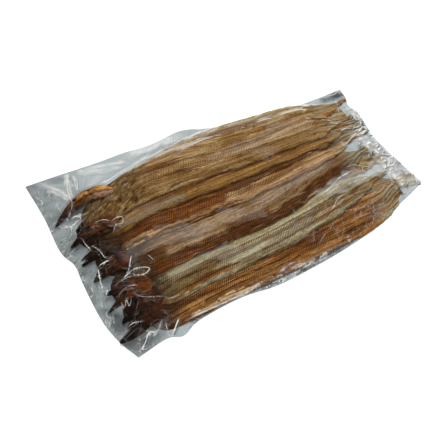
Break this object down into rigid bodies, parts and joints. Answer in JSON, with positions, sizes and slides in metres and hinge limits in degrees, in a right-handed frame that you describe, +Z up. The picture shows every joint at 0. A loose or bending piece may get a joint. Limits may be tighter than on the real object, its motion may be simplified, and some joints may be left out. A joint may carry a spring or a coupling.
{
  "type": "dried split hairtail",
  "caption": "Clear sealed bag of dried split hairtail lying flat: beaked heads at one end, thin tails at the other, under crumpled film with empty flaps at its edges.",
  "frame": {"origin": "middle of the bag's bounding box, on the plane that it lies on", "axes": "+X from the heads to the tails along the bag, +Y to its far long side, +Z up"},
  "size_m": [0.5086, 0.319, 0.03],
  "materials": {
    "film": "clear plastic film, glossy, crumpled, slightly grey",
    "dried_fish": "dried split fish flesh, tan to dark brown, half matt, with fine rib lines",
    "fish_head": "dried fish skin and bone, dark brown to near black, half glossy"
  },
  "bodies": {
    "root": {"bag": "film"}
  },
  "joints": []
}
